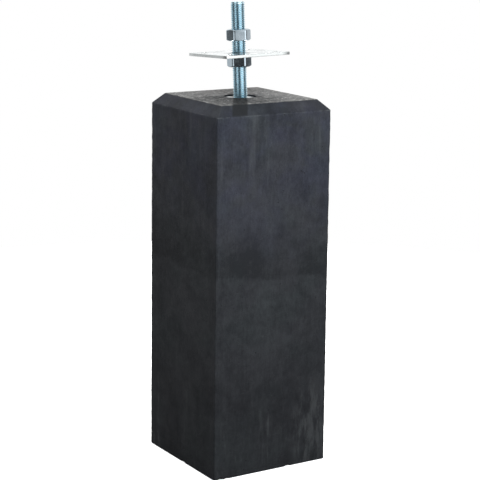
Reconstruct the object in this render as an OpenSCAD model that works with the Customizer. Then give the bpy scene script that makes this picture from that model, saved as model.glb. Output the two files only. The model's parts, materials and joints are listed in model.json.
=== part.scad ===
// Precast concrete column base block. A square concrete foot carries a threaded
// rod, and the nuts on it hold a square support plate at a height that is set by
// turning them. Millimetres, +Z up. The origin is the centre of the underside,
// and the sides lie along X and Y. The rod leans a little, as it was cast in, and
// what is on it is measured along it from the top of the block.

/* [Concrete block] */
// Width of the foot, across flats
foot_width = 182; // [150:1:260]
// How much each side leans in from the foot to the head
side_draft = 1; // [0:0.5:4]
// Height of the block
block_height = 514; // [300:1:800]
// Chamfer round the head, measured along the top
head_chamfer_run = 14; // [5:0.5:25]
// Chamfer round the head, measured down the side
head_chamfer_drop = 14.5; // [5:0.5:25]
// Diameter of the shallow recess round the rod
recess_diameter = 44; // [36:1:60]
// Depth of that recess
recess_depth = 3; // [1:0.5:4]

/* [Threaded rod] */
// Outside diameter of the thread
rod_diameter = 20; // [12:1:24]
// How far the rod stands out of the top of the block
rod_projection = 128; // [110:1:220]
// How deep the rod sits in the block
rod_embedment = 60; // [40:5:150]
// Lean of the rod from plumb, in degrees
rod_lean = 3; // [0:0.5:4]
// Way that the rod leans, in degrees from +X
rod_lean_toward = -158; // [-180:1:180]
// Chamfer on both ends of the rod
rod_end_chamfer = 1.5; // [0.5:0.5:2]
// Gap round the rod in its socket
socket_clearance = 0.05; // [0.01:0.01:0.1]

/* [Nuts] */
// Width across the flats of a nut
nut_across_flats = 30; // [28:1:36]
// How much the rounding takes off a nut's width across the corners
nut_corner_rounding = 1.2; // [0:0.1:2]
// Height of a nut
nut_height = 15.5; // [10:0.5:20]
// Gap round the rod in a nut
nut_clearance = 0.1; // [0.05:0.01:0.1]
// Depth of the countersink at each end of a nut's hole
nut_countersink = 1.2; // [0.5:0.1:1.5]
// Width of the round bearing face, as a share of the width across flats
nut_face_share = 0.95; // [0.85:0.01:0.98]
// Slope of a nut's corner chamfers, in degrees
nut_chamfer_slope = 30; // [15:5:40]
// Way that a flat of the lower nut faces, in degrees from +X
lower_nut_facing = -32; // [-60:1:60]
// Way that a flat of the lock nut faces, in degrees from +X
lock_nut_facing = -23; // [-60:1:60]
// Gap between the plate and the lock nut before it is run down
lock_nut_gap = 16; // [1:0.5:20]

/* [Support plate] */
// Width of the plate
plate_width = 100; // [85:1:150]
// Thickness of the plate
plate_thickness = 4; // [2:0.5:8]
// Height of the plate's underside above the top of the block
plate_lift = 55.5; // [40:0.5:65]
// Gap round the rod in the plate's middle hole
plate_hole_clearance = 1; // [0.5:0.25:2]
// Diameter of the screw holes
screw_hole_diameter = 9; // [5:0.5:12]
// Distance from the plate's edges to the centres of the screw holes
screw_hole_edge = 15; // [10:0.5:16]

/* [Hidden] */
$fn = 96;

// A cut runs this far past the face that it opens
CUT = 1;
// A hexagon's corners lie this far from the middles of its sides
HALF_SIDE_ANGLE = 30;

head_width = foot_width - 2 * side_draft;
rod_radius = rod_diameter / 2;
nut_bore_radius = rod_radius + nut_clearance;
nut_sharp_radius = nut_across_flats / 2 / cos(HALF_SIDE_ANGLE);
nut_corner_radius = nut_sharp_radius - nut_corner_rounding / 2;
nut_face_radius = nut_across_flats / 2 * nut_face_share;
nut_chamfer_drop = (nut_corner_radius - nut_face_radius) * tan(nut_chamfer_slope);
lower_nut_bottom = plate_lift - nut_height;
lock_nut_bottom = plate_lift + plate_thickness + lock_nut_gap;
screw_hole_reach = plate_width / 2 - screw_hole_edge;

// Puts children on the leaning rod, with their zero at the top of the block
module on_rod() {
    lean_axis = [-sin(rod_lean_toward), cos(rod_lean_toward), 0];
    translate([0, 0, block_height])
        rotate(a = rod_lean, v = lean_axis)
            children();
}

// Side view of the block: draft up to the shoulder, then the chamfer
module block_profile() {
    shoulder = block_height - head_chamfer_drop;
    top_half = head_width / 2 - head_chamfer_run;
    polygon([
        [-foot_width / 2, 0],
        [foot_width / 2, 0],
        [head_width / 2, shoulder],
        [top_half, block_height],
        [-top_half, block_height],
        [-head_width / 2, shoulder]
    ]);
}

// The side view, drawn in X and Z and run through the block along Y
module block_slab() {
    rotate([90, 0, 0])
        linear_extrude(height = foot_width + 2 * CUT, center = true)
            block_profile();
}

// Four drafted sides and four chamfers: the same side view both ways
module block_solid() {
    intersection() {
        block_slab();
        rotate([0, 0, 90])
            block_slab();
    }
}

module block() {
    color([0.22, 0.24, 0.26])
    difference() {
        block_solid();
        translate([0, 0, block_height - recess_depth])
            cylinder(d = recess_diameter, h = recess_depth + CUT);
        on_rod()
            translate([0, 0, -rod_embedment])
                cylinder(r = rod_radius + socket_clearance, h = rod_embedment);
    }
}

// Rod with chamfered ends, standing on the floor of its socket
module threaded_rod() {
    end_radius = rod_radius - rod_end_chamfer;
    color([0.60, 0.72, 0.78])
    on_rod()
        rotate_extrude()
            polygon([
                [0, -rod_embedment],
                [end_radius, -rod_embedment],
                [rod_radius, -rod_embedment + rod_end_chamfer],
                [rod_radius, rod_projection - rod_end_chamfer],
                [end_radius, rod_projection],
                [0, rod_projection]
            ]);
}

// Round blank with both corner chamfers and a countersunk hole
module nut_blank() {
    mouth_radius = nut_bore_radius + nut_countersink;
    rotate_extrude()
        polygon([
            [nut_bore_radius, nut_countersink],
            [mouth_radius, 0],
            [nut_face_radius, 0],
            [nut_corner_radius, nut_chamfer_drop],
            [nut_corner_radius, nut_height - nut_chamfer_drop],
            [nut_face_radius, nut_height],
            [mouth_radius, nut_height],
            [nut_bore_radius, nut_height - nut_countersink]
        ]);
}

// Hexagon nut on the rod, its underside at the given height along it
module hexagon_nut(bottom, facing) {
    on_rod()
        translate([0, 0, bottom])
            rotate([0, 0, facing - HALF_SIDE_ANGLE])
                intersection() {
                    nut_blank();
                    cylinder(r = nut_sharp_radius, h = nut_height, $fn = 6);
                }
}

// Nut that carries the plate
module lower_nut() {
    color([0.55, 0.62, 0.66])
        hexagon_nut(lower_nut_bottom, lower_nut_facing);
}

// Nut above the plate, run down on it once the height is set
module lock_nut() {
    color([0.62, 0.70, 0.74])
        hexagon_nut(lock_nut_bottom, lock_nut_facing);
}

// Square plate with a loose hole for the rod and four screw holes
module support_plate() {
    color([0.88, 0.90, 0.90])
    on_rod()
        translate([0, 0, plate_lift])
            difference() {
                translate([-plate_width / 2, -plate_width / 2, 0])
                    cube([plate_width, plate_width, plate_thickness]);
                translate([0, 0, -CUT])
                    linear_extrude(height = plate_thickness + 2 * CUT) {
                        circle(r = rod_radius + plate_hole_clearance);
                        for (x = [-1, 1], y = [-1, 1])
                            translate([x * screw_hole_reach, y * screw_hole_reach])
                                circle(d = screw_hole_diameter);
                    }
            }
}

block();
threaded_rod();
lower_nut();
support_plate();
lock_nut();
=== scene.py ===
"""Column base block: a drafted concrete foot with a cast-in threaded rod, and
two nuts that hold a square support plate at a height set by turning them.

Lengths are in metres and +Z is up. The block's underside is centred on the
origin, and what is on the rod is measured along it from the block's top.
"""

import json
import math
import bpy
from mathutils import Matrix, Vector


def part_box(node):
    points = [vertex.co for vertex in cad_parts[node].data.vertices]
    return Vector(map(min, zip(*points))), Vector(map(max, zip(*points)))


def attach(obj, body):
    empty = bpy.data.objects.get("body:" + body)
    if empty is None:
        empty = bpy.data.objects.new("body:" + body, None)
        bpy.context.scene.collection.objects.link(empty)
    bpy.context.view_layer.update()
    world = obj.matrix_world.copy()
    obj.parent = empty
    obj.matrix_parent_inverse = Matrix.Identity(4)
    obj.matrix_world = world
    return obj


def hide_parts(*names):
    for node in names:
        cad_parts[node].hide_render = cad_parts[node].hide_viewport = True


bl_info = {
    "name": "Column base block",
    "version": (1, 0, 0),
    "blender": (4, 5, 0),
    "location": "3D View > Sidebar > Column Base",
    "description": "Finishes a precast column base with its rod, nuts and plate",
    "category": "Object",
}

import bmesh
import bpy
from bpy.props import FloatProperty, FloatVectorProperty, IntProperty, PointerProperty
from bpy.types import Operator, Panel, PropertyGroup
from mathutils import Matrix, Vector, noise

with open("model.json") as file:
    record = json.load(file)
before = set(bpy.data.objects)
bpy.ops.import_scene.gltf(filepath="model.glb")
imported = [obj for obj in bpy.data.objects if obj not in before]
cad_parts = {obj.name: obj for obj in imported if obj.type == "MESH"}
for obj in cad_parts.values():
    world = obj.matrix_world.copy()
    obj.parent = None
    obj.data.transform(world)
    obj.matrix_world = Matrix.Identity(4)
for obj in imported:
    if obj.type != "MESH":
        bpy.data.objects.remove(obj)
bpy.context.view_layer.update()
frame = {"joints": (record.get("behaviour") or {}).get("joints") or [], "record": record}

MM = 0.001
BLOCK_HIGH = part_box("block")[1]
TOP = BLOCK_HIGH.z
JOINTS = {joint["name"]: joint for joint in frame["joints"]}
MOUNTS = {mount["name"]: mount for mount in frame["record"]["mounts"]}
ROD_AXIS = Vector(JOINTS["plate_height"]["axis"]).normalized()
ROD_FOOT = Vector((0, 0, TOP))
# Carries a shape drawn plumb on the origin to its place on the leaning rod
ON_ROD = Matrix.Translation(ROD_FOOT) @ (
    Vector((0, 0, 1)).rotation_difference(ROD_AXIS).to_matrix().to_4x4()
)


def along_rod(place):
    """How far a point lies along the rod from the block's top."""
    return (Vector(place) - ROD_FOOT).dot(ROD_AXIS)


ROD_TIP = along_rod(MOUNTS["rod_end"]["pos_m"])
PLATE_FACE = along_rod(MOUNTS["plate_top"]["pos_m"])
LOWER_NUT_MIDDLE = along_rod(JOINTS["lower_nut_turn"]["pos_m"])
LOCK_NUT_MIDDLE = along_rod(JOINTS["lock_nut_turn"]["pos_m"])
# Gap between the rod and the wall of its socket
SOCKET_GAP = 0.05 * MM
# Depth of a metric thread as a share of its pitch
THREAD_DEPTH = 0.6134


# ---------------------------------------------------------------- settings


def length(name, description, default, low=0.0, high=1.0):
    return FloatProperty(
        name=name,
        description=description,
        default=default,
        min=low,
        max=high,
        unit="LENGTH",
        precision=4,
    )


def angle(name, description, degrees):
    return FloatProperty(
        name=name,
        description=description,
        default=math.radians(degrees),
        subtype="ANGLE",
    )


def share(name, description, default, high=1.0):
    return FloatProperty(
        name=name,
        description=description,
        default=default,
        min=0.0,
        max=high,
        subtype="FACTOR",
    )


def colour(name, description, default):
    return FloatVectorProperty(
        name=name,
        description=description,
        default=default,
        min=0.0,
        max=1.0,
        size=3,
        subtype="COLOR",
    )


class BlockSettings(PropertyGroup):
    draft: length("Side draft", "How much each side leans in up to the head", 1 * MM)
    chamfer_run: length("Chamfer run", "Chamfer round the head, along the top", 14 * MM)
    chamfer_drop: length("Chamfer drop", "Chamfer round the head, down the side", 14.5 * MM)
    recess: length("Recess diameter", "Shallow round recess about the rod", 44 * MM)
    recess_depth: length("Recess depth", "Depth of the round recess", 3 * MM)
    socket: length("Socket depth", "How deep the rod sits in the concrete", 60 * MM)
    arris: length("Arris wear", "Size of the small round on the corners", 1.3 * MM)
    spacing: length("Mesh spacing", "Distance between rings up the sides", 2.7 * MM, 1 * MM)
    relief: length("Top relief", "Depth of the struck top's unevenness", 0.9 * MM)
    dark: colour("Dark concrete", "Fair face in its darkest clouds", (0.017, 0.018, 0.021))
    light: colour("Light concrete", "Fair face in its palest clouds", (0.040, 0.042, 0.047))
    bloom: colour("Lime bloom", "Pale salts on faces and arrises", (0.120, 0.126, 0.130))
    struck: colour("Struck top", "Rough cement skin of the top", (0.150, 0.147, 0.142))


class HardwareSettings(PropertyGroup):
    rod_radius: length("Rod radius", "Outside radius of the thread", 10 * MM)
    pitch: length("Thread pitch", "Rise of the thread in one turn", 2.5 * MM)
    end_chamfer: length("Rod end chamfer", "Chamfer on the rod's ends", 1.5 * MM)
    thread_gap: length("Thread gap", "Play between nut and rod threads", 0.1 * MM)
    nut_flats: length("Nut across flats", "Distance between two flats", 30 * MM)
    nut_corner: length("Nut corner radius", "Rounded corners' distance from the middle", 16.72 * MM)
    nut_height: length("Nut height", "Height of a nut", 15.5 * MM)
    nut_face: length("Nut face radius", "Radius of the round bearing face", 14.25 * MM)
    nut_slope: angle("Nut chamfer slope", "Slope of the corner chamfers", 30)
    countersink: length("Countersink", "Depth of the countersink in a nut", 1.2 * MM)
    lower_facing: angle("Lower nut facing", "Way that a flat faces, from +X", -32)
    lock_facing: angle("Lock nut facing", "Way that a flat faces, from +X", -23)
    plate_width: length("Plate width", "Side of the square plate", 100 * MM)
    plate_thickness: length("Plate thickness", "Thickness of the plate", 4 * MM)
    plate_hole: length("Plate hole", "Diameter of the middle hole", 22 * MM)
    blue: colour("Passivate tint", "Blue-green tint of the rod's plating", (0.43, 0.64, 0.74))
    zinc: colour("Zinc", "Bright plating of the plate", (0.49, 0.52, 0.52))
    dulled: colour("Dulled zinc", "Plating of the nuts", (0.30, 0.37, 0.42))
    segments: IntProperty(
        name="Thread segments",
        description="Faces in one turn of the thread",
        default=60,
        min=24,
        max=96,
    )


class StageSettings(PropertyGroup):
    turn: angle("Camera turn", "Camera's way round the block, from -Y toward +X", 58.118)
    rise: angle("Camera rise", "Camera's height above level", 12.417)
    roll: angle("Camera roll", "Camera's roll about its own line of sight", 0.681)
    distance: length("Camera distance", "From the aim point to the lens", 2.22134, 0.5, 20)
    aim_side: length("Aim to the side", "Aim point's shift to the camera's right", 1.94 * MM)
    aim_height: length("Aim height", "Height of the aim point", 0.310908)
    lens: FloatProperty(
        name="Lens", description="Focal length", default=118.83, min=20, max=300, unit="CAMERA"
    )
    sky: share("Room light", "Even light from all round", 0.05, 4.0)
    overhead: share("Overhead light", "Light from above and behind", 2.15, 20.0)
    side: share("Side light", "Light from the right, high up", 7.6, 200.0)
    floor: colour("Floor", "Pale floor", (0.95, 0.95, 0.95))
    bounce: share("Floor bounce", "How much light the floor throws back up", 0.11)


# ------------------------------------------------------------- mesh helpers


def edges_at(verts):
    """The edges that meet at some vertices, each once."""
    return list(dict.fromkeys(edge for vert in verts for edge in vert.link_edges))


def extrude_rings(bm, rings):
    """Extrudes a ring of edges on through each ring of points in turn."""
    made = bmesh.ops.create_circle(bm, segments=len(rings[0]), radius=1.0)
    verts = made["verts"]
    edges = edges_at(verts)
    for vert, point in zip(verts, rings[0]):
        vert.co = point
    for ring in rings[1:]:
        place = {vert: number for number, vert in enumerate(verts)}
        grown = bmesh.ops.extrude_edge_only(bm, edges=edges)["geom"]
        verts = [None] * len(ring)
        for item in grown:
            if isinstance(item, bmesh.types.BMVert):
                others = (edge.other_vert(item) for edge in item.link_edges)
                partner = next(other for other in others if other in place)
                verts[place[partner]] = item
        fresh = set(verts)
        edges = [
            edge
            for edge in edges_at(verts)
            if edge.verts[0] in fresh and edge.verts[1] in fresh
        ]
        for vert, point in zip(verts, ring):
            vert.co = point


def close_ends(bm):
    """Fills each open loop of edges with one face."""
    open_edges = [edge for edge in bm.edges if edge.is_boundary]
    bmesh.ops.holes_fill(bm, edges=open_edges, sides=0)


def eased(before, corner, after, size, steps=4):
    """Points of the small round that takes the place of a sharp corner."""
    start = corner + (before - corner).normalized() * size
    end = corner + (after - corner).normalized() * size
    points = []
    for step in range(steps + 1):
        t = step / steps
        points.append((1 - t) ** 2 * start + 2 * t * (1 - t) * corner + t**2 * end)
    return points


def spaced(start, end, spacing):
    """Points between two others, a spacing or less apart, without the ends."""
    count = max(1, math.ceil((end - start).length / spacing))
    return [start.lerp(end, step / count) for step in range(1, count)]


def finish_piece(bm, name, material, body, node, crease=35.0):
    """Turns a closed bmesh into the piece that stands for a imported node."""
    bmesh.ops.recalc_face_normals(bm, faces=bm.faces)
    if any(not edge.is_manifold for edge in bm.edges):
        raise RuntimeError(f"{name} isn't closed")
    mesh = bpy.data.meshes.new(name)
    bm.to_mesh(mesh)
    bm.free()
    mesh.materials.append(material)
    mesh.shade_smooth()
    mesh.set_sharp_from_angle(angle=math.radians(crease))
    piece = bpy.data.objects.new(name, mesh)
    bpy.context.scene.collection.objects.link(piece)
    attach(piece, body)
    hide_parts(node)
    return piece


# ------------------------------------------------------------- node helpers


def put(tree, kind, sockets=None, **settings):
    """Adds a node. Each named socket gets a value, or a link from an output."""
    node = tree.nodes.new(kind)
    for key, value in settings.items():
        setattr(node, key, value)
    for key, value in (sockets or {}).items():
        if isinstance(value, bpy.types.NodeSocket):
            tree.links.new(value, node.inputs[key])
        else:
            node.inputs[key].default_value = value
    return node


def maths(tree, operation, first, second=0.0, third=0.0):
    """One step of arithmetic on values or outputs."""
    sockets = {0: first, 1: second, 2: third}
    return put(tree, "ShaderNodeMath", sockets, operation=operation).outputs[0]


def blended(tree, amount, first, second, mode="MIX"):
    """Colour between two others, by an amount from 0 to 1."""
    sockets = {0: amount, 6: first, 7: second}
    node = put(tree, "ShaderNodeMix", sockets, data_type="RGBA", blend_type=mode)
    return node.outputs[2]


def tinted(tree, amount, base, tint):
    """A colour multiplied by a tint, by an amount from 0 to 1."""
    return blended(tree, amount, base, (*tint, 1), "MULTIPLY")


def window(tree, value, low, high, to_low=0.0, to_high=1.0):
    """Maps a value smoothly from one range to another."""
    sockets = {0: value, 1: low, 2: high, 3: to_low, 4: to_high}
    node = put(tree, "ShaderNodeMapRange", sockets, interpolation_type="SMOOTHSTEP")
    return node.outputs[0]


def grain(tree, vector, scale, detail=4.0, roughness=0.55, distortion=0.0):
    """Fractal noise about 0.5."""
    sockets = {
        "Vector": vector,
        "Scale": scale,
        "Detail": detail,
        "Roughness": roughness,
        "Distortion": distortion,
    }
    return put(tree, "ShaderNodeTexNoise", sockets).outputs["Fac"]


def stretched(tree, vector, scale):
    """The pattern's coordinates, drawn out by a scale on each axis."""
    return put(tree, "ShaderNodeMapping", {"Vector": vector, "Scale": scale}).outputs[0]


def from_axis(tree, vector):
    """How far a point lies from the Z axis."""
    flat = stretched(tree, vector, (1.0, 1.0, 0.0))
    return put(tree, "ShaderNodeVectorMath", {0: flat}, operation="LENGTH").outputs["Value"]


def new_group(name, inputs, outputs):
    """An empty shader node group and its input and output nodes."""
    tree = bpy.data.node_groups.new(name, "ShaderNodeTree")
    for title, kind, default in inputs:
        socket = tree.interface.new_socket(title, in_out="INPUT", socket_type=kind)
        if default is not None:
            socket.default_value = default
    for title, kind in outputs:
        tree.interface.new_socket(title, in_out="OUTPUT", socket_type=kind)
    return tree, tree.nodes.new("NodeGroupInput"), tree.nodes.new("NodeGroupOutput")


def use_group(tree, name, sockets):
    """Places a shared group in a material."""
    return put(tree, "ShaderNodeGroup", sockets, node_tree=bpy.data.node_groups[name])


def new_material(name, constants):
    """A material, its tree, its shader and its object coordinates."""
    material = bpy.data.materials.new(name)
    material.use_nodes = True
    tree = material.node_tree
    shader = tree.nodes["Principled BSDF"]
    for key, value in constants.items():
        shader.inputs[key].default_value = value
    place = tree.nodes.new("ShaderNodeTexCoord").outputs["Object"]
    return material, tree, shader, place


FLOAT, VECTOR = "NodeSocketFloat", "NodeSocketVector"


def mottle_group():
    """Clouds, streaks and fine grain, for cast and for plated surfaces alike."""
    tree, inside, outside = new_group(
        "Mottle",
        [
            ("Vector", VECTOR, None),
            ("Cloud scale", FLOAT, 10.0),
            ("Streak scale", FLOAT, 60.0),
            ("Grain scale", FLOAT, 400.0),
        ],
        [("Clouds", FLOAT), ("Streaks", FLOAT), ("Grain", FLOAT)],
    )
    vector = inside.outputs["Vector"]
    broad = grain(tree, vector, inside.outputs["Cloud scale"], 6.0, 0.6, 0.4)
    drawn = stretched(tree, vector, (1.0, 1.0, 0.06))
    streaks = grain(tree, drawn, inside.outputs["Streak scale"], 3.0, 0.55)
    fine = grain(tree, vector, inside.outputs["Grain scale"], 3.0, 0.6)
    tree.links.new(window(tree, broad, 0.33, 0.67), outside.inputs["Clouds"])
    tree.links.new(window(tree, streaks, 0.35, 0.7), outside.inputs["Streaks"])
    tree.links.new(window(tree, fine, 0.3, 0.7), outside.inputs["Grain"])


def scratch_group():
    """Fine hairlines that run one way and fade in and out."""
    tree, inside, outside = new_group(
        "Scratches",
        [("Vector", VECTOR, None), ("Scale", FLOAT, 100.0), ("Cover", FLOAT, 0.5)],
        [("Lines", FLOAT)],
    )
    vector = inside.outputs["Vector"]
    bent = grain(tree, vector, inside.outputs["Scale"], 2.0, 0.5, 0.6)
    ridge = maths(tree, "ABSOLUTE", maths(tree, "SUBTRACT", bent, 0.5))
    line = window(tree, ridge, 0.0, 0.012, 1.0, 0.0)
    patch = grain(tree, vector, maths(tree, "MULTIPLY", inside.outputs["Scale"], 0.21), 2.0)
    edge = maths(tree, "SUBTRACT", 1.0, inside.outputs["Cover"])
    shown = window(tree, patch, edge, maths(tree, "ADD", edge, 0.15))
    tree.links.new(maths(tree, "MULTIPLY", line, shown), outside.inputs["Lines"])


# ------------------------------------------------------------------- block


def square_ring(half, corner, height, per_side=72, per_corner=5):
    """Points anticlockwise round a square with small rounds on its corners."""
    inner = half - corner
    points = []
    # Keeps a side's first and last points off the ends of its rounds
    near = 0.4 / per_side
    for turn in range(4):
        quarter = Matrix.Rotation(math.radians(90 * turn), 3, "Z")
        for step in range(per_corner):
            a = math.radians(90) * step / (per_corner - 1)
            out_x, out_y = corner * math.cos(a), corner * math.sin(a)
            points.append(quarter @ Vector((inner + out_x, inner + out_y, height)))
        for step in range(per_side):
            t = min(max(step / (per_side - 1), near), 1 - near)
            points.append(quarter @ Vector((inner * (1 - 2 * t), half, height)))
    return points


def round_ring(like, radius, height):
    """A circle whose points lie in the same directions as another ring's."""
    points = []
    for point in like:
        flat = Vector((point.x, point.y)).normalized() * radius
        points.append(Vector((flat.x, flat.y, height)))
    return points


def side_profile(size, foot, head):
    """Half width against height up the drafted side and over the chamfer."""
    shoulder = TOP - size.chamfer_drop
    rim = head - size.chamfer_run
    # The profile turns in at both ends by this much
    turn_in = 12 * MM
    corners = [
        Vector((foot - turn_in, 0)),
        Vector((foot, 0)),
        Vector((head, shoulder)),
        Vector((rim, TOP)),
        Vector((rim - turn_in, TOP)),
    ]
    points = [corners[0]]
    for number in (1, 2, 3):
        bend = eased(corners[number - 1], corners[number], corners[number + 1], size.arris)
        points += spaced(points[-1], bend[0], size.spacing)
        points += bend
    points += spaced(points[-1], corners[4], 2 * MM)
    return points + [corners[4]]


# Small breaks on the arrises: the middle of each and the size of its scoop
CHIPS = (
    (Vector((0.091, 0.028, 0.0)), 6.0 * MM),
    (Vector((0.091, -0.080, 0.0)), 6.0 * MM),
    (Vector((0.091, -0.070, 0.0)), 4.6 * MM),
    (Vector((0.004, -0.091, 0.0)), 5.8 * MM),
    (Vector((-0.052, -0.091, 0.0)), 2.0 * MM),
    (Vector((0.091, 0.061, 0.0)), 2.0 * MM),
    (Vector((0.0906, -0.0906, 0.171)), 2.0 * MM),
    (Vector((0.0904, -0.0904, 0.338)), 2.4 * MM),
    (Vector((0.0903, 0.0903, 0.412)), 2.6 * MM),
    (Vector((-0.0903, -0.0903, 0.236)), 2.6 * MM),
    (Vector((-0.0906, 0.0906, 0.094)), 3.0 * MM),
    (Vector((-0.091, 0.037, 0.0)), 3.6 * MM),
    (Vector((-0.030, 0.091, 0.0)), 3.2 * MM),
    (Vector((0.0902, -0.031, 0.4995)), 2.0 * MM),
    (Vector((-0.0902, 0.018, 0.4995)), 2.4 * MM),
    (Vector((-0.041, -0.0762, 0.5138)), 2.0 * MM),
    (Vector((0.0762, 0.039, 0.5138)), 1.8 * MM),
)


def knock_chips(bm):
    """Scoops a rough hollow out of the arris at each chip."""
    for place, size in CHIPS:
        near = [v for v in bm.verts if (v.co - place).length < size * 1.8]
        bmesh.ops.subdivide_edges(bm, edges=edges_at(near), cuts=3, use_grid_fill=True)
        outward = Vector((place.x, place.y, 0.0)).normalized()
        # On the foot's and the head's arrises the scoop comes in at a slant
        if place.z < 20 * MM:
            outward.z = -1.0
        elif place.z > TOP - 20 * MM:
            outward.z = 0.9
        scoop = place + outward.normalized() * size * 0.5
        for vert in bm.verts:
            away = vert.co - scoop
            ragged = size * (1 + 0.35 * noise.noise(vert.co * 900))
            if away.length < ragged:
                vert.co = scoop + away.normalized() * ragged
                vert.co.z = min(max(vert.co.z, 0.0), TOP)


def struck_relief(point, depth):
    """How far the trowelled top lies below its highest place."""
    flat = Vector((point.x, point.y, 0.0))
    broad = noise.fractal(flat * 55, 0.8, 2.0, 4)
    lumps = noise.noise(flat * 230 + Vector((7, 3, 1)))
    return depth * min(max(0.42 + 0.45 * broad + 0.3 * lumps, 0.0), 1.0)


def weather(bm, head, rim, relief):
    """Roughens the struck top, dents the sides and wears the upright arrises."""
    for vert in bm.verts:
        p = vert.co
        off_middle = max(abs(p.x), abs(p.y))
        if p.z > TOP - 0.5 * MM and off_middle < rim:
            p.z -= struck_relief(p, relief) * (1 - 0.7 * (off_middle / rim) ** 12)
        elif p.z > 0.1 * MM and off_middle > rim - 1 * MM:
            dent = 0.22 * MM * (1 + noise.fractal(p * 28, 0.9, 2.0, 3))
            wear = 0.25 * MM * (1 + noise.noise(p * 160))
            if p.z < 3 * MM:
                p.z += 0.5 * MM * max(0.0, noise.noise(p * 120))
            at_arris = min(abs(p.x), abs(p.y)) > head - 1.6 * MM
            inward = Vector((p.x, p.y, 0)).normalized() * min(dent, 0.5 * MM)
            p -= inward * 0.5
            if at_arris:
                p -= Vector((math.copysign(wear, p.x), math.copysign(wear, p.y), 0))


def block_mesh(size, rod_radius):
    """The block from its underside up, over the top and down into the socket."""
    foot = BLOCK_HIGH.x
    head = foot - size.draft
    profile = side_profile(size, foot, head)
    rings = [square_ring(half, size.arris * 1.2, height) for half, height in profile]
    # The square of the top turns into the round of the recess
    last = rings[-1]
    recess = size.recess / 2
    circle = round_ring(last, recess + size.arris, TOP)
    steps = math.ceil((last[0].x - recess) / (2 * MM))
    for step in range(1, steps + 1):
        rings.append([a.lerp(b, step / steps) for a, b in zip(last, circle)])
    floor = TOP - size.recess_depth
    bore = rod_radius + SOCKET_GAP
    lip = Vector((recess + size.arris, TOP))
    edge = Vector((recess, TOP))
    foot_of_wall = Vector((recess, floor))
    mouth = Vector((bore, floor))
    over = eased(lip, edge, foot_of_wall, 0.8 * MM, 3)
    under = eased(edge, foot_of_wall, mouth, 0.8 * MM, 3)
    for radius, height in over + under + spaced(under[-1], mouth, 1.6 * MM):
        rings.append(round_ring(last, radius, height))
    # The socket leans with the rod
    for depth in (size.recess_depth, 0.25 * size.socket, 0.5 * size.socket, size.socket):
        rings.append([ON_ROD @ point for point in round_ring(last, bore, -depth)])
    bm = bmesh.new()
    extrude_rings(bm, rings)
    close_ends(bm)
    weather(bm, head, head - size.chamfer_run, size.relief)
    knock_chips(bm)
    return bm


# What the concrete's colour is multiplied by where it is blue and where it is a
# little green, and as painted shade at the foot and on the chamfers
BLUE_CAST = (1.02, 1.02, 1.24)
GREEN_CAST = (0.97, 1.10, 1.04)
FOOT_PAINTED_SHADE = (0.80, 0.80, 0.81)
CHAMFER_PAINTED_SHADE = (0.57, 0.575, 0.60)


def pour_line(tree, place, y, z):
    """Dark line where one pour met the next, sharp on its underside."""
    wander = maths(tree, "MULTIPLY_ADD", grain(tree, place, 14.0, 5.0), 0.05, z)
    wander = maths(tree, "MULTIPLY_ADD", y, 0.09, wander)
    lower = window(tree, wander, 0.296, 0.304)
    upper = window(tree, wander, 0.318, 0.372, 1.0, 0.0)
    uneven = window(tree, grain(tree, place, 21.0, 4.0), 0.32, 0.6, 0.25, 1.0)
    return maths(tree, "MULTIPLY", maths(tree, "MULTIPLY", lower, upper), uneven)


def lime_bloom(tree, place, streaks, z):
    """Pale patches that run down the faces, most of them low down."""
    drawn = stretched(tree, place, (1.0, 1.0, 0.22))
    patch = window(tree, grain(tree, drawn, 34.0, 5.0, 0.7), 0.56, 0.74)
    thin = window(tree, streaks, 0.35, 0.8, 0.35, 1.0)
    low = window(tree, z, 0.01, 0.16, 0.42, 0.05)
    patch = maths(tree, "MULTIPLY", maths(tree, "MULTIPLY", patch, thin), low)
    # It is thickest near one corner of the foot
    from_corner = {0: stretched(tree, place, (1.0, 1.0, 0.45)), 1: (0.091, 0.066, 0.022)}
    corner = put(tree, "ShaderNodeVectorMath", from_corner, operation="DISTANCE").outputs["Value"]
    runs = window(tree, grain(tree, drawn, 95.0, 5.0, 0.7), 0.40, 0.62)
    runs = maths(tree, "MULTIPLY", runs, window(tree, corner, 0.012, 0.042, 0.34, 0.0))
    return maths(tree, "MAXIMUM", patch, runs)


def slanting_rubs(tree, place, z):
    """Faint slanting rubs, most of them on the upper half."""
    slant = {"Vector": place, "Rotation": (0.75, 0.2, 0.0), "Scale": (1.0, 1.0, 0.12)}
    slanted = put(tree, "ShaderNodeMapping", slant).outputs[0]
    rubs = window(tree, grain(tree, slanted, 60.0, 4.0, 0.6), 0.55, 0.75)
    return maths(tree, "MULTIPLY", rubs, window(tree, z, 0.30, 0.46, 0.02, 0.16))


def arris_rub(tree, place, size, axes):
    """Upright and shoulder arrises rubbed pale here and there."""
    x, y, z = axes
    side = maths(tree, "MULTIPLY_ADD", z, -size.draft / TOP, BLOCK_HIGH.x)
    nearer = maths(tree, "MINIMUM", maths(tree, "ABSOLUTE", x), maths(tree, "ABSOLUTE", y))
    inside = maths(tree, "SUBTRACT", side, nearer)
    upright = window(tree, inside, 0.3 * MM, 1.3 * MM, 1.0, 0.0)
    shoulder = TOP - size.chamfer_drop
    off_shoulder = maths(tree, "ABSOLUTE", maths(tree, "SUBTRACT", z, shoulder))
    level = window(tree, off_shoulder, 0.2 * MM, 1.2 * MM, 1.0, 0.0)
    ragged = window(tree, grain(tree, place, 60.0, 6.0, 0.75), 0.42, 0.66)
    return maths(tree, "MULTIPLY", maths(tree, "MAXIMUM", upright, level), ragged)


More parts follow.
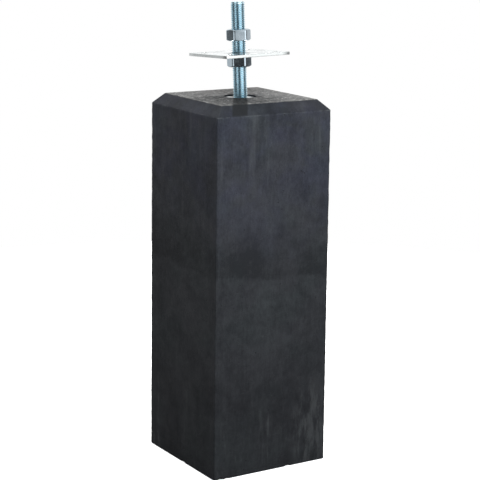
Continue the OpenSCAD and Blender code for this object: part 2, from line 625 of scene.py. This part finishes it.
def painted_rod_shadow(tree, place, z):
    """Painted shadow of the rod: a dark streak from its foot out over the chamfer."""
    turn = {"Vector": place, "Rotation": (0, 0, math.radians(31.9))}
    run = put(tree, "ShaderNodeMapping", turn).outputs[0]
    along, across, _ = put(tree, "ShaderNodeSeparateXYZ", {0: run}).outputs
    across = maths(tree, "ABSOLUTE", across)
    across = maths(tree, "MULTIPLY_ADD", grain(tree, place, 90.0, 3.0), 3 * MM, across)
    rod_shadow = window(tree, across, 10.0 * MM, 12.5 * MM, 1.0, 0.0)
    rod_shadow = maths(tree, "MULTIPLY", rod_shadow, window(tree, along, 8 * MM, 16 * MM))
    return maths(tree, "MULTIPLY", rod_shadow, window(tree, z, TOP - 15 * MM, TOP - 12 * MM))


def air_holes(tree, place):
    """Small air holes, in groups."""
    cells = put(tree, "ShaderNodeTexVoronoi", {"Vector": place, "Scale": 110.0})
    hole = window(tree, cells.outputs["Distance"], 0.06, 0.16, 1.0, 0.0)
    sparse = window(tree, grain(tree, place, 31.0, 2.0), 0.52, 0.6)
    return maths(tree, "MULTIPLY", hole, sparse)


def concrete_material(size):
    """Fair-faced concrete, blue above and paler below, with a rough struck top."""
    material, tree, shader, place = new_material(
        "Anthracite concrete", {"Specular IOR Level": 0.2}
    )
    axes = put(tree, "ShaderNodeSeparateXYZ", {0: place}).outputs
    _, y, z = axes
    bloom = (*size.bloom, 1)
    struck = (*size.struck, 1)
    scales = {"Cloud scale": 15.0, "Streak scale": 150.0, "Grain scale": 520.0}
    mottle = use_group(tree, "Mottle", {"Vector": place, **scales})
    clouds, streaks, fine = (mottle.outputs[name] for name in ("Clouds", "Streaks", "Grain"))
    mid = window(tree, grain(tree, place, 55.0, 6.0, 0.7), 0.36, 0.66)
    tone = maths(tree, "MULTIPLY_ADD", clouds, 0.34, maths(tree, "MULTIPLY", mid, 0.34))
    hatched = stretched(tree, place, (1.0, 1.0, 0.35))
    hatch = window(tree, grain(tree, hatched, 330.0, 3.0, 0.7), 0.3, 0.7)
    tone = maths(tree, "MULTIPLY_ADD", hatch, 0.26, tone)
    tone = maths(tree, "MULTIPLY_ADD", streaks, 0.13, tone)
    tone = maths(tree, "MULTIPLY_ADD", maths(tree, "SUBTRACT", fine, 0.5), 0.30, tone)
    tone = maths(tree, "MULTIPLY_ADD", pour_line(tree, place, y, z), -0.45, tone)
    face = blended(tree, tone, (*size.dark, 1), (*size.light, 1))
    # Above the pour line it is blue in places, and all over a little green
    raised = maths(tree, "MULTIPLY_ADD", grain(tree, place, 8.0, 4.0), 0.25, z)
    blue = window(tree, raised, 0.42, 0.56)
    patchy = window(tree, grain(tree, place, 17.0, 5.0, 0.6, 0.5), 0.40, 0.62, 0.25, 1.0)
    face = tinted(tree, maths(tree, "MULTIPLY", blue, patchy), face, BLUE_CAST)
    green = window(tree, grain(tree, place, 11.0, 4.0), 0.42, 0.66, 0.0, 0.5)
    face = tinted(tree, green, face, GREEN_CAST)
    # Painted shade: the faces darken toward the foot
    face = tinted(tree, window(tree, z, 0.09, 0.21, 1.0, 0.0), face, FOOT_PAINTED_SHADE)
    face = blended(tree, lime_bloom(tree, place, streaks, z), face, bloom)
    face = blended(tree, slanting_rubs(tree, place, z), face, bloom)
    hairlines = {"Vector": stretched(tree, place, (1.0, 1.0, 2.2)), "Scale": 110.0, "Cover": 0.56}
    lines = use_group(tree, "Scratches", hairlines).outputs[0]
    face = blended(tree, maths(tree, "MULTIPLY", lines, 0.12), face, bloom)
    # Painted shade: the chamfers, which face up into the lights, are darkened
    shoulder = TOP - size.chamfer_drop
    on_chamfer = window(tree, z, shoulder - 0.6 * MM, shoulder + 0.6 * MM)
    face = tinted(tree, on_chamfer, face, CHAMFER_PAINTED_SHADE)
    rubbed = arris_rub(tree, place, size, axes)
    face = blended(tree, maths(tree, "MULTIPLY", rubbed, 0.30), face, bloom)
    # The struck top is rough and pale, with painted shade in its hollows, and the recess round the
    # rod is painted near white as glints
    # Painted shade: the struck top's low places fade to the darker face colour
    on_top = window(tree, z, TOP - 1.2 * MM, TOP - 0.2 * MM)
    crumbs = window(tree, grain(tree, place, 125.0, 6.0, 0.8), 0.38, 0.64)
    glints = window(tree, grain(tree, place, 240.0, 4.0, 0.75), 0.55, 0.66)
    # Painted shade: the low crumbs, which the bump sinks, are dark as shade in the hollows
    skin = blended(tree, crumbs, (0.022, 0.022, 0.023, 1), struck)
    skin = blended(tree, maths(tree, "MULTIPLY", clouds, 0.5), skin, struck)
    # Painted glints: pale specks in the top's colour stand in for highlights
    skin = blended(tree, maths(tree, "MULTIPLY", glints, 0.5), skin, (0.55, 0.55, 0.54, 1))
    face = blended(tree, on_top, face, skin)
    # Painted glints: the floor of the recess round the rod is painted near white
    rim = size.recess / 2
    inside = window(tree, from_axis(tree, place), rim - 1.5 * MM, rim, 1.0, 0.0)
    inside = maths(tree, "MULTIPLY", inside, window(tree, z, 0.45, 0.46))
    recess_glints = blended(tree, crumbs, (0.25, 0.25, 0.25, 1), (0.85, 0.85, 0.83, 1))
    face = blended(tree, inside, face, recess_glints)
    # Painted shadow of the rod, dark on the top and chamfer in front of its foot
    rod_shadow = maths(tree, "MULTIPLY", painted_rod_shadow(tree, place, z), 0.85)
    face = blended(tree, rod_shadow, face, (0.009, 0.010, 0.011, 1))
    # Painted shade: the air holes are coloured dark as the shade inside them; the bump sinks them too
    pore = air_holes(tree, place)
    face = blended(tree, maths(tree, "MULTIPLY", pore, 0.6), face, (0.010, 0.010, 0.011, 1))
    tree.links.new(face, shader.inputs["Base Color"])
    sheen = maths(tree, "MULTIPLY_ADD", clouds, -0.10, 0.74)
    sheen = maths(tree, "MULTIPLY_ADD", maths(tree, "MULTIPLY", on_top, glints), -0.35, sheen)
    tree.links.new(maths(tree, "MULTIPLY_ADD", fine, 0.1, sheen), shader.inputs["Roughness"])
    height = maths(tree, "MULTIPLY_ADD", fine, 0.25, maths(tree, "MULTIPLY", mid, 0.35))
    height = maths(tree, "MULTIPLY_ADD", streaks, 0.12, height)
    height = maths(tree, "MULTIPLY_ADD", pore, -1.6, height)
    height = maths(tree, "MULTIPLY_ADD", lines, -0.25, height)
    height = maths(tree, "MULTIPLY_ADD", maths(tree, "MULTIPLY", on_top, crumbs), 4.0, height)
    bump = put(tree, "ShaderNodeBump", {"Height": height, "Distance": 0.25 * MM, "Strength": 0.8})
    tree.links.new(bump.outputs[0], shader.inputs["Normal"])
    return material


class COLUMNBASE_OT_block(Operator):
    """Casts the block: drafted sides, worn arrises, chamfered head and struck top"""

    bl_idname = "columnbase.block"
    bl_label = "Concrete block"

    def execute(self, context):
        size = context.scene.columnbase_block
        bm = block_mesh(size, context.scene.columnbase_hardware.rod_radius)
        material = concrete_material(size)
        finish_piece(bm, "cast_block", material, "base", "block", 50.0)
        return {"FINISHED"}


# ---------------------------------------------------------------- hardware


def thread_surface(bm, start, end, crest, root, pitch, segments):
    """A right-hand screw thread's surface between two heights, with flat ends."""
    # Of one pitch, each flank takes five sixteenths and the crest an eighth
    flank = pitch * 5 / 16
    crest_end = flank + pitch / 8
    shape = ((0.0, root), (flank, crest), (crest_end, crest), (crest_end + flank, root))
    # The thread runs on past both heights, and is cut off at them
    first = math.floor(start / pitch) - 2
    last = math.ceil(end / pitch) + 2
    verts = []
    for turn in range(first, last):
        for rise, radius in shape:
            verts.append(bm.verts.new((radius, 0.0, turn * pitch + rise)))
    edges = [bm.edges.new(pair) for pair in zip(verts, verts[1:])]
    bmesh.ops.spin(
        bm,
        geom=verts + edges,
        cent=(0, 0, 0),
        axis=(0, 0, 1),
        dvec=(0, 0, pitch / segments),
        angle=math.radians(360),
        steps=segments,
        use_merge=False,
    )
    bmesh.ops.remove_doubles(bm, verts=bm.verts, dist=0.01 * MM)
    for height, side in ((start, -1), (end, 1)):
        bmesh.ops.bisect_plane(
            bm,
            geom=bm.verts[:] + bm.edges[:] + bm.faces[:],
            dist=0.001 * MM,
            plane_co=(0, 0, height),
            plane_no=(0, 0, side),
            clear_outer=True,
        )


def rod_mesh(size, socket):
    """The rod from its socket's floor to its tip, both ends chamfered."""
    bottom = -socket
    bm = bmesh.new()
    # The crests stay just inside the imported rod
    crest = size.rod_radius - 0.02 * MM
    root = size.rod_radius - THREAD_DEPTH * size.pitch
    thread_surface(bm, bottom, ROD_TIP, crest, root, size.pitch, size.segments)
    for vert in bm.verts:
        radius = Vector((vert.co.x, vert.co.y)).length
        from_end = min(vert.co.z - bottom, ROD_TIP - vert.co.z)
        most = size.rod_radius - size.end_chamfer + from_end
        if radius > most:
            vert.co.x *= most / radius
            vert.co.y *= most / radius
    close_ends(bm)
    bmesh.ops.transform(bm, matrix=ON_ROD, verts=bm.verts)
    return bm


def polar(radius, turn, height):
    """The point at a radius, a turn from +X and a height."""
    return Vector((radius * math.cos(turn), radius * math.sin(turn), height))


def hex_reach(size, around):
    """Distance from a nut's middle to its outside, in a direction."""
    off_flat = (around + math.radians(30)) % math.radians(60) - math.radians(30)
    return min(size.nut_flats / 2 / math.cos(off_flat), size.nut_corner)


def nut_mesh(size, middle, facing):
    """A hexagon nut with chamfered corners and a threaded, countersunk bore."""
    bottom = middle - size.nut_height / 2
    top = middle + size.nut_height / 2
    mouth = size.rod_radius + size.thread_gap + size.countersink
    count = 144
    turns = [math.radians(360) * step / count for step in range(count)]
    slope = math.tan(size.nut_slope)

    def ring(radius, height):
        return [polar(radius, turn + facing, height) for turn in turns]

    def wall(edge, sign, inset, sunk):
        points = []
        for turn in turns:
            reach = hex_reach(size, turn)
            drop = max(0.0, (reach - size.nut_face) * slope)
            points.append(polar(reach - inset, turn + facing, edge - sign * (drop + sunk)))
        return points

    # Both ends alike: the bearing face, then a small round from chamfer to flat
    ease = 0.3 * MM
    face = (mouth, (mouth + size.nut_face) / 2, size.nut_face)
    round_off = ((ease, -ease * slope), (0.25 * ease, 0.25 * ease), (0.0, 1.5 * ease))
    below = [ring(radius, bottom) for radius in face]
    below += [wall(bottom, -1, inset, sunk) for inset, sunk in round_off]
    above = [ring(radius, top) for radius in face]
    above += [wall(top, 1, inset, sunk) for inset, sunk in round_off]
    flats = [
        [low.lerp(high, part) for low, high in zip(below[-1], above[-1])]
        for part in (0.25, 0.5, 0.75)
    ]
    rings = below + flats + above[::-1]
    bm = bmesh.new()
    crest = size.rod_radius + size.thread_gap
    root = crest - THREAD_DEPTH * size.pitch
    thread_surface(bm, bottom, top, crest, root, size.pitch, size.segments)
    for vert in bm.verts:
        radius = Vector((vert.co.x, vert.co.y)).length
        from_end = min(vert.co.z - bottom, top - vert.co.z)
        least = mouth - from_end
        if radius < least:
            vert.co.x *= least / radius
            vert.co.y *= least / radius
    extrude_rings(bm, rings)
    for height in (bottom, top):
        loops = [
            edge
            for edge in bm.edges
            if edge.is_boundary and all(abs(vert.co.z - height) < 0.01 * MM for vert in edge.verts)
        ]
        bmesh.ops.bridge_loops(bm, edges=loops)
    bmesh.ops.transform(bm, matrix=ON_ROD, verts=bm.verts)
    return bm


def plate_mesh(size):
    """A square plate with a middle hole and four screw holes, edges eased."""
    bm = bmesh.new()
    half = size.plate_width / 2
    bottom = PLATE_FACE - size.plate_thickness
    screws = MOUNTS["plate_screws"]["dims"]
    reach = screws["pcd_mm"] * MM / 2 / math.sqrt(2)
    signs = ((-1, -1), (1, -1), (1, 1), (-1, 1))
    corners = [bm.verts.new((x * half, y * half, bottom)) for x, y in signs]
    for first, second in zip(corners, corners[1:] + corners[:1]):
        bm.edges.new((first, second))
    bmesh.ops.subdivide_edges(bm, edges=bm.edges[:], cuts=7)
    holes = [(0.0, 0.0, size.plate_hole / 2, 64)]
    holes += [
        (x * reach, y * reach, screws["hole_r_mm"] * MM, 40) for x in (-1, 1) for y in (-1, 1)
    ]
    for x, y, radius, segments in holes:
        bmesh.ops.create_circle(
            bm, segments=segments, radius=radius, matrix=Matrix.Translation((x, y, bottom))
        )
    bmesh.ops.triangle_fill(bm, edges=bm.edges[:], use_beauty=True)
    grown = bmesh.ops.extrude_face_region(bm, geom=bm.faces[:])["geom"]
    lifted = [item for item in grown if isinstance(item, bmesh.types.BMVert)]
    bmesh.ops.translate(bm, vec=(0, 0, size.plate_thickness), verts=lifted)
    bmesh.ops.recalc_face_normals(bm, faces=bm.faces)
    sharp = [edge for edge in bm.edges if edge.calc_face_angle(0.0) > math.radians(40)]
    bmesh.ops.bevel(
        bm,
        geom=sharp,
        offset=0.35 * MM,
        offset_type="OFFSET",
        affect="EDGES",
        segments=2,
        profile=0.5,
        material=-1,
    )
    bmesh.ops.transform(bm, matrix=ON_ROD, verts=bm.verts)
    return bm


def zinc_material(name, tint, pale, rough, streak, spangle, relief, thread=None):
    """Zinc plating: tinted clouds, fine lines and dull spots. A thread's outside radius puts painted
    shade in its roots."""
    material, tree, shader, place = new_material(name, {"Metallic": 1.0})
    plumb = ON_ROD.inverted()
    upright = {"Vector": place, "Location": plumb.translation, "Rotation": plumb.to_euler()}
    lean = put(tree, "ShaderNodeMapping", upright).outputs[0]
    mottle = use_group(
        tree,
        "Mottle",
        {"Vector": lean, "Cloud scale": 70.0, "Streak scale": streak, "Grain scale": spangle},
    )
    clouds, streaks, fine = (mottle.outputs[title] for title in ("Clouds", "Streaks", "Grain"))
    tone = maths(tree, "MULTIPLY_ADD", streaks, 0.35, maths(tree, "MULTIPLY", clouds, 0.4))
    tone = maths(tree, "MULTIPLY_ADD", fine, 0.25, tone)
    base = blended(tree, tone, (*tint, 1), (*pale, 1))
    lines = use_group(tree, "Scratches", {"Vector": lean, "Scale": 160.0, "Cover": 0.45}).outputs[0]
    base = blended(tree, maths(tree, "MULTIPLY", lines, 0.35), base, (0.85, 0.87, 0.88, 1))
    spots = put(tree, "ShaderNodeTexVoronoi", {"Vector": lean, "Scale": 190.0})
    spot = window(tree, spots.outputs["Distance"], 0.05, 0.22, 1.0, 0.0)
    rare = window(tree, grain(tree, lean, 60.0, 2.0), 0.58, 0.66)
    spot = maths(tree, "MULTIPLY", spot, rare)
    base = blended(tree, maths(tree, "MULTIPLY", spot, 0.5), base, (0.16, 0.19, 0.20, 1))
    # Painted shade darkens the thread below its crests
    if thread is not None:
        out = from_axis(tree, lean)
        deep = window(tree, out, thread - 1.45 * MM, thread - 0.75 * MM, 0.12, 0.0)
        base = blended(tree, deep, base, (0.05, 0.07, 0.08, 1))
    tree.links.new(base, shader.inputs["Base Color"])
    worn = maths(tree, "MULTIPLY_ADD", clouds, 0.08, rough)
    worn = maths(tree, "MULTIPLY_ADD", fine, 0.06, worn)
    tree.links.new(maths(tree, "MULTIPLY_ADD", lines, 0.1, worn), shader.inputs["Roughness"])
    height = maths(tree, "MULTIPLY_ADD", lines, -0.5, maths(tree, "MULTIPLY", fine, 0.5))
    height = maths(tree, "MULTIPLY_ADD", streaks, 0.5, height)
    bump = put(tree, "ShaderNodeBump", {"Height": height, "Distance": relief, "Strength": 0.5})
    tree.links.new(bump.outputs[0], shader.inputs["Normal"])
    return material


class COLUMNBASE_OT_rod(Operator):
    """Rolls the rod's thread and chamfers both its ends"""

    bl_idname = "columnbase.rod"
    bl_label = "Threaded rod"

    def execute(self, context):
        size = context.scene.columnbase_hardware
        material = zinc_material(
            "Blue passivated zinc",
            tint=size.blue,
            pale=(0.67, 0.85, 0.93),
            rough=0.19,
            streak=240.0,
            spangle=700.0,
            relief=0.008 * MM,
            thread=size.rod_radius,
        )
        bm = rod_mesh(size, context.scene.columnbase_block.socket)
        finish_piece(bm, "rod_thread", material, "base", "threaded_rod")
        return {"FINISHED"}


class COLUMNBASE_OT_nuts(Operator):
    """Makes both hexagon nuts, with threads that run true with the rod's"""

    bl_idname = "columnbase.nuts"
    bl_label = "Nuts"

    def execute(self, context):
        size = context.scene.columnbase_hardware
        material = zinc_material(
            "Dulled zinc",
            tint=size.dulled,
            pale=(0.51, 0.59, 0.65),
            rough=0.12,
            streak=300.0,
            spangle=800.0,
            relief=0.02 * MM,
        )
        lower = nut_mesh(size, LOWER_NUT_MIDDLE, size.lower_facing)
        finish_piece(lower, "nut_under_plate", material, "lower_nut", "lower_nut")
        lock = nut_mesh(size, LOCK_NUT_MIDDLE, size.lock_facing)
        finish_piece(lock, "nut_over_plate", material, "lock_nut", "lock_nut")
        return {"FINISHED"}


class COLUMNBASE_OT_plate(Operator):
    """Cuts the support plate, drills it and eases its edges"""

    bl_idname = "columnbase.plate"
    bl_label = "Support plate"

    def execute(self, context):
        size = context.scene.columnbase_hardware
        material = zinc_material(
            "Bright zinc",
            tint=size.zinc,
            pale=(0.60, 0.625, 0.625),
            rough=0.18,
            streak=120.0,
            spangle=500.0,
            relief=0.02 * MM,
        )
        bm = plate_mesh(size)
        finish_piece(bm, "square_plate", material, "plate", "support_plate")
        return {"FINISHED"}


# ------------------------------------------------------------------- stage


def add_light(name, kind, place, aim, energy, **settings):
    """Hangs a light. The metals mirror the sun and the room, not the side light."""
    light = bpy.data.lights.new(name, kind)
    light.energy = energy
    for key, value in settings.items():
        setattr(light, key, value)
    holder = bpy.data.objects.new(name, light)
    bpy.context.scene.collection.objects.link(holder)
    holder.location = place
    holder.rotation_euler = (Vector(aim) - Vector(place)).to_track_quat("-Z", "Y").to_euler()
    holder.visible_glossy = kind == "SUN"
    return holder


def aimed(turn, rise):
    """The direction at a turn from +X and a height above level, in degrees."""
    t, r = math.radians(turn), math.radians(rise)
    return Vector((math.cos(t) * math.cos(r), math.sin(t) * math.cos(r), math.sin(r)))


# Soft boxes round the room: turn from +X in degrees, half widths in degrees to
# the edge of the full light and to the end of its fall, brightness, and middle
# and half height as sines of the angle above level
SOFT_BOXES = (
    (16, 10, 40, 1.95, -0.08, 0.34),
    (-74, 6, 22, 1.7, -0.22, 0.20),
    (-134, 14, 44, 0.12, -0.22, 0.20),
    (155, 50, 70, 0.80, 0.10, 0.45),
)


# Heights in the room, as sines of the angle above level: where the bright
# ceiling starts and is full, and a pale band round the walls, by its middle,
# half its height at full light and half its height with its fade
CEILING_START, CEILING_FULL, CEILING_LIGHT = 0.66, 0.86, 1.6
BAND_MIDDLE, BAND_HALF, BAND_END, BAND_LIGHT = 0.32, 0.14, 0.24, 0.38
# How far in height a soft box fades out above and below
BOX_FADE = 0.15


def studio_world(stage):
    """A dim room with soft boxes and a pale band round it, and a bright ceiling."""
    world = bpy.data.worlds.new("Studio")
    world.use_nodes = True
    tree = world.node_tree
    way = tree.nodes.new("ShaderNodeTexCoord").outputs["Generated"]
    height = put(tree, "ShaderNodeSeparateXYZ", {0: way}).outputs[2]
    level = put(tree, "ShaderNodeVectorMath", {0: way, 1: (1, 1, 0)}, operation="MULTIPLY").outputs[0]
    level = put(tree, "ShaderNodeVectorMath", {0: level}, operation="NORMALIZE").outputs[0]
    total = window(tree, height, CEILING_START, CEILING_FULL, stage.sky, CEILING_LIGHT)
    off_band = maths(tree, "ABSOLUTE", maths(tree, "SUBTRACT", height, BAND_MIDDLE))
    band = window(tree, off_band, BAND_HALF, BAND_END, BAND_LIGHT, 0.0)
    total = maths(tree, "ADD", total, band)
    for turn, full, none, bright, middle, half in SOFT_BOXES:
        off = maths(tree, "ABSOLUTE", maths(tree, "SUBTRACT", height, middle))
        tall = window(tree, off, half, half + BOX_FADE, 1.0, 0.0)
        ways = {0: level, 1: aimed(turn, 0)}
        facing = put(tree, "ShaderNodeVectorMath", ways, operation="DOT_PRODUCT").outputs["Value"]
        box = window(tree, facing, math.cos(math.radians(none)), math.cos(math.radians(full)))
        box = maths(tree, "MULTIPLY", box, tall)
        total = maths(tree, "MULTIPLY_ADD", box, bright, total)
    # What stands behind the object is plain white
    seen = put(tree, "ShaderNodeLightPath").outputs["Is Camera Ray"]
    strength = maths(tree, "MAXIMUM", total, seen)
    background = tree.nodes["Background"]
    background.inputs["Color"].default_value = (1.0, 1.0, 1.0, 1.0)
    tree.links.new(strength, background.inputs["Strength"])
    return world


FLOOR_RADIUS = 1.4
# The floor's own glow, which only the camera sees
FLOOR_GLOW = 0.55


class COLUMNBASE_OT_stage(Operator):
    """Lays the pale floor, hangs the soft lights and sets up the camera"""

    bl_idname = "columnbase.stage"
    bl_label = "Stage"

    def execute(self, context):
        scene = context.scene
        stage = scene.columnbase_stage
        scene.view_settings.view_transform = "Standard"

        bm = bmesh.new()
        bmesh.ops.create_circle(bm, cap_ends=True, segments=96, radius=FLOOR_RADIUS)
        mesh = bpy.data.meshes.new("floor")
        bm.to_mesh(mesh)
        bm.free()
        material, tree, shader, _ = new_material("Pale floor", {"Roughness": 0.9})
        seen = put(tree, "ShaderNodeLightPath").outputs["Is Camera Ray"]
        bounce = (stage.bounce, stage.bounce, stage.bounce, 1)
        tone = blended(tree, seen, bounce, (*stage.floor, 1))
        tree.links.new(tone, shader.inputs["Base Color"])
        shader.inputs["Emission Color"].default_value = (1.0, 1.0, 1.0, 1.0)
        tree.links.new(maths(tree, "MULTIPLY", seen, FLOOR_GLOW), shader.inputs["Emission Strength"])
        mesh.materials.append(material)
        floor = bpy.data.objects.new("floor", mesh)
        scene.collection.objects.link(floor)

        scene.world = studio_world(stage)
        add_light(
            "overhead",
            "SUN",
            aimed(149, 50),
            (0, 0, 0),
            stage.overhead,
            angle=math.radians(10),
        )
        add_light(
            "side",
            "AREA",
            (0.666, -0.166, 0.96),
            (0.05, -0.03, 0.30),
            stage.side,
            shape="RECTANGLE",
            size=0.45,
            size_y=0.45,
            color=(0.90, 0.96, 1.0),
        )

        turn, rise = stage.turn, stage.rise
        back = Vector((
            math.sin(turn) * math.cos(rise),
            -math.cos(turn) * math.cos(rise),
            math.sin(rise),
        ))
        right = Vector((math.cos(turn), math.sin(turn), 0))
        up = back.cross(right)
        target = right * stage.aim_side + Vector((0, 0, stage.aim_height))
        rolled = Matrix((right, up, back)).transposed() @ Matrix.Rotation(stage.roll, 3, "Z")
        data = bpy.data.cameras.new("camera")
        data.lens = stage.lens
        data.sensor_width = 36.0
        camera = bpy.data.objects.new("camera", data)
        camera.matrix_world = Matrix.Translation(target + back * stage.distance) @ rolled.to_4x4()
        scene.collection.objects.link(camera)
        scene.camera = camera
        return {"FINISHED"}


# ------------------------------------------------------------ registration


class COLUMNBASE_PT_sidebar(Panel):
    bl_label = "Column Base"
    bl_idname = "COLUMNBASE_PT_sidebar"
    bl_space_type = "VIEW_3D"
    bl_region_type = "UI"
    bl_category = "Column Base"

    def draw(self, context):
        for group, operators in (
            ("columnbase_block", (COLUMNBASE_OT_block,)),
            (
                "columnbase_hardware",
                (COLUMNBASE_OT_rod, COLUMNBASE_OT_nuts, COLUMNBASE_OT_plate),
            ),
            ("columnbase_stage", (COLUMNBASE_OT_stage,)),
        ):
            box = self.layout.box()
            settings = getattr(context.scene, group)
            for name in settings.bl_rna.properties.keys():
                if name not in {"rna_type", "name"}:
                    box.prop(settings, name)
            for operator in operators:
                box.operator(operator.bl_idname)


CLASSES = (
    BlockSettings,
    HardwareSettings,
    StageSettings,
    COLUMNBASE_OT_block,
    COLUMNBASE_OT_rod,
    COLUMNBASE_OT_nuts,
    COLUMNBASE_OT_plate,
    COLUMNBASE_OT_stage,
    COLUMNBASE_PT_sidebar,
)


def register():
    for item in CLASSES:
        bpy.utils.register_class(item)
    bpy.types.Scene.columnbase_block = PointerProperty(type=BlockSettings)
    bpy.types.Scene.columnbase_hardware = PointerProperty(type=HardwareSettings)
    bpy.types.Scene.columnbase_stage = PointerProperty(type=StageSettings)


def unregister():
    del bpy.types.Scene.columnbase_stage
    del bpy.types.Scene.columnbase_hardware
    del bpy.types.Scene.columnbase_block
    for item in reversed(CLASSES):
        bpy.utils.unregister_class(item)


def main():
    register()
    mottle_group()
    scratch_group()
    bpy.ops.columnbase.block()
    bpy.ops.columnbase.rod()
    bpy.ops.columnbase.nuts()
    bpy.ops.columnbase.plate()
    bpy.ops.columnbase.stage()


if __name__ == "__main__":
    main()
